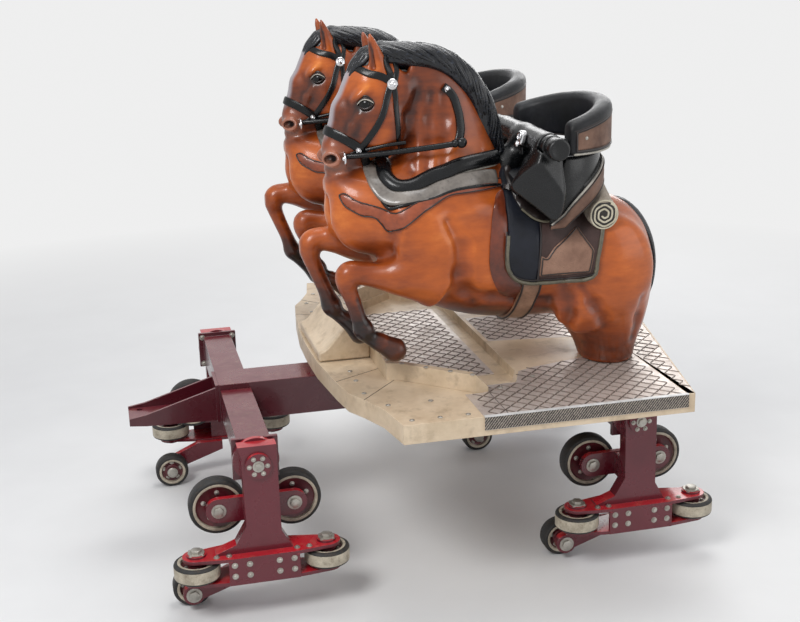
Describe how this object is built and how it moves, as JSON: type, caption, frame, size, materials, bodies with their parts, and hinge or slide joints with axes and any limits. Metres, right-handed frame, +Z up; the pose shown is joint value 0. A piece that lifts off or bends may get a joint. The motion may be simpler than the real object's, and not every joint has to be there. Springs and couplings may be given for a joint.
{
  "type": "roller coaster lead car with two horse seats",
  "caption": "Single-row lead car of a launched roller coaster with two moulded horse seats, back restraints and wheel bogies on two axles.",
  "frame": {"origin": "on the floor, at the centre of the car's bounding box seen from above", "axes": "+X forward, +Y to the car's left, +Z up"},
  "size_m": [2, 1.762, 1.832],
  "materials": {
    "steel_red": "gloss red paint over welded steel",
    "steel_maroon": "gloss maroon paint over welded steel",
    "coupling_steel": "machined and oiled steel",
    "deck_beige": "satin beige gelcoat on moulded glass fibre",
    "tread_alloy": "aluminium tread plate with raised diamonds",
    "horse_coat": "hand-shaded chestnut lacquer on glass fibre",
    "mane_black": "black lacquer with a blue-grey sheen",
    "tack_black": "black lacquered straps with grey and red-brown bands",
    "saddle_leather": "brown and navy leather look with a piped border",
    "blanket_roll": "taupe rolled blanket, black and cream at its ends",
    "seat_black": "satin black moulding",
    "ring_pad": "black integral-skin foam with brown patches",
    "wheel_tread": "black polyurethane tread on a steel hub"
  },
  "bodies": {
    "root": {"spine": "steel_maroon", "axle_beam_rear": "steel_maroon", "axle_beam_front": "steel_maroon", "outriggers": "steel_maroon", "deck": "deck_beige", "front_fairing": "deck_beige", "foot_blocks": "deck_beige", "tread_plates": "tread_alloy", "rear_tread_plate": "tread_alloy", "rear_coupling": "coupling_steel", "front_bracket": "steel_maroon", "bogie_rear_left": "steel_red", "bogie_rear_right": "steel_red", "bogie_front_left": "steel_red", "bogie_front_right": "steel_red", "horse_left": "horse_coat", "mane_left": "mane_black", "tack_left": "tack_black", "saddle_left": "saddle_leather", "blanket_left": "blanket_roll", "seat_shell_left": "seat_black", "crossbar_left": "seat_black", "horse_right": "horse_coat", "mane_right": "mane_black", "tack_right": "tack_black", "saddle_right": "saddle_leather", "blanket_right": "blanket_roll", "seat_shell_right": "seat_black", "crossbar_right": "seat_black"},
    "running_wheel_rear_left_a": {"running_wheel_rear_left_a": "wheel_tread"},
    "guide_wheel_rear_left_a": {"guide_wheel_rear_left_a": "wheel_tread"},
    "running_wheel_rear_left_b": {"running_wheel_rear_left_b": "wheel_tread"},
    "guide_wheel_rear_left_b": {"guide_wheel_rear_left_b": "wheel_tread"},
    "upstop_wheel_rear_left": {"upstop_wheel_rear_left": "wheel_tread"},
    "running_wheel_rear_right_a": {"running_wheel_rear_right_a": "wheel_tread"},
    "guide_wheel_rear_right_a": {"guide_wheel_rear_right_a": "wheel_tread"},
    "running_wheel_rear_right_b": {"running_wheel_rear_right_b": "wheel_tread"},
    "guide_wheel_rear_right_b": {"guide_wheel_rear_right_b": "wheel_tread"},
    "upstop_wheel_rear_right": {"upstop_wheel_rear_right": "wheel_tread"},
    "running_wheel_front_left_a": {"running_wheel_front_left_a": "wheel_tread"},
    "guide_wheel_front_left_a": {"guide_wheel_front_left_a": "wheel_tread"},
    "running_wheel_front_left_b": {"running_wheel_front_left_b": "wheel_tread"},
    "guide_wheel_front_left_b": {"guide_wheel_front_left_b": "wheel_tread"},
    "upstop_wheel_front_left": {"upstop_wheel_front_left": "wheel_tread"},
    "running_wheel_front_right_a": {"running_wheel_front_right_a": "wheel_tread"},
    "guide_wheel_front_right_a": {"guide_wheel_front_right_a": "wheel_tread"},
    "running_wheel_front_right_b": {"running_wheel_front_right_b": "wheel_tread"},
    "guide_wheel_front_right_b": {"guide_wheel_front_right_b": "wheel_tread"},
    "upstop_wheel_front_right": {"upstop_wheel_front_right": "wheel_tread"},
    "back_ring_left": {"back_ring_left": "ring_pad"},
    "back_ring_right": {"back_ring_right": "ring_pad"}
  },
  "joints": [
    {"name": "running_wheel_rear_left_a_spin", "type": "hinge", "parent": "root", "child": "running_wheel_rear_left_a", "pos_m": [-0.805, 0.5, 0.345], "axis": [0, 1, 0], "continuous": true},
    {"name": "guide_wheel_rear_left_a_spin", "type": "hinge", "parent": "root", "child": "guide_wheel_rear_left_a", "pos_m": [-0.892, 0.635, 0.19], "axis": [0, 0, 1], "continuous": true},
    {"name": "running_wheel_rear_left_b_spin", "type": "hinge", "parent": "root", "child": "running_wheel_rear_left_b", "pos_m": [-0.555, 0.5, 0.345], "axis": [0, 1, 0], "continuous": true},
    {"name": "guide_wheel_rear_left_b_spin", "type": "hinge", "parent": "root", "child": "guide_wheel_rear_left_b", "pos_m": [-0.468, 0.635, 0.19], "axis": [0, 0, 1], "continuous": true},
    {"name": "upstop_wheel_rear_left_spin", "type": "hinge", "parent": "root", "child": "upstop_wheel_rear_left", "pos_m": [-0.455, 0.5, 0.065], "axis": [0, 1, 0], "continuous": true},
    {"name": "running_wheel_rear_right_a_spin", "type": "hinge", "parent": "root", "child": "running_wheel_rear_right_a", "pos_m": [-0.805, -0.5, 0.345], "axis": [0, 1, 0], "continuous": true},
    {"name": "guide_wheel_rear_right_a_spin", "type": "hinge", "parent": "root", "child": "guide_wheel_rear_right_a", "pos_m": [-0.892, -0.635, 0.19], "axis": [0, 0, 1], "continuous": true},
    {"name": "running_wheel_rear_right_b_spin", "type": "hinge", "parent": "root", "child": "running_wheel_rear_right_b", "pos_m": [-0.555, -0.5, 0.345], "axis": [0, 1, 0], "continuous": true},
    {"name": "guide_wheel_rear_right_b_spin", "type": "hinge", "parent": "root", "child": "guide_wheel_rear_right_b", "pos_m": [-0.468, -0.635, 0.19], "axis": [0, 0, 1], "continuous": true},
    {"name": "upstop_wheel_rear_right_spin", "type": "hinge", "parent": "root", "child": "upstop_wheel_rear_right", "pos_m": [-0.455, -0.5, 0.065], "axis": [0, 1, 0], "continuous": true},
    {"name": "running_wheel_front_left_a_spin", "type": "hinge", "parent": "root", "child": "running_wheel_front_left_a", "pos_m": [0.495, 0.5, 0.345], "axis": [0, 1, 0], "continuous": true},
    {"name": "guide_wheel_front_left_a_spin", "type": "hinge", "parent": "root", "child": "guide_wheel_front_left_a", "pos_m": [0.408, 0.635, 0.19], "axis": [0, 0, 1], "continuous": true},
    {"name": "running_wheel_front_left_b_spin", "type": "hinge", "parent": "root", "child": "running_wheel_front_left_b", "pos_m": [0.745, 0.5, 0.345], "axis": [0, 1, 0], "continuous": true},
    {"name": "guide_wheel_front_left_b_spin", "type": "hinge", "parent": "root", "child": "guide_wheel_front_left_b", "pos_m": [0.832, 0.635, 0.19], "axis": [0, 0, 1], "continuous": true},
    {"name": "upstop_wheel_front_left_spin", "type": "hinge", "parent": "root", "child": "upstop_wheel_front_left", "pos_m": [0.845, 0.5, 0.065], "axis": [0, 1, 0], "continuous": true},
    {"name": "running_wheel_front_right_a_spin", "type": "hinge", "parent": "root", "child": "running_wheel_front_right_a", "pos_m": [0.495, -0.5, 0.345], "axis": [0, 1, 0], "continuous": true},
    {"name": "guide_wheel_front_right_a_spin", "type": "hinge", "parent": "root", "child": "guide_wheel_front_right_a", "pos_m": [0.408, -0.635, 0.19], "axis": [0, 0, 1], "continuous": true},
    {"name": "running_wheel_front_right_b_spin", "type": "hinge", "parent": "root", "child": "running_wheel_front_right_b", "pos_m": [0.745, -0.5, 0.345], "axis": [0, 1, 0], "continuous": true},
    {"name": "guide_wheel_front_right_b_spin", "type": "hinge", "parent": "root", "child": "guide_wheel_front_right_b", "pos_m": [0.832, -0.635, 0.19], "axis": [0, 0, 1], "continuous": true},
    {"name": "upstop_wheel_front_right_spin", "type": "hinge", "parent": "root", "child": "upstop_wheel_front_right", "pos_m": [0.845, -0.5, 0.065], "axis": [0, 1, 0], "continuous": true},
    {"name": "back_ring_left_lift", "type": "hinge", "parent": "root", "child": "back_ring_left", "pos_m": [-0.35, 0.42, 1.488], "axis": [0, 1, 0], "range_deg": [0, 60]},
    {"name": "back_ring_right_lift", "type": "hinge", "parent": "root", "child": "back_ring_right", "pos_m": [-0.35, -0.42, 1.488], "axis": [0, 1, 0], "range_deg": [0, 60]}
  ]
}
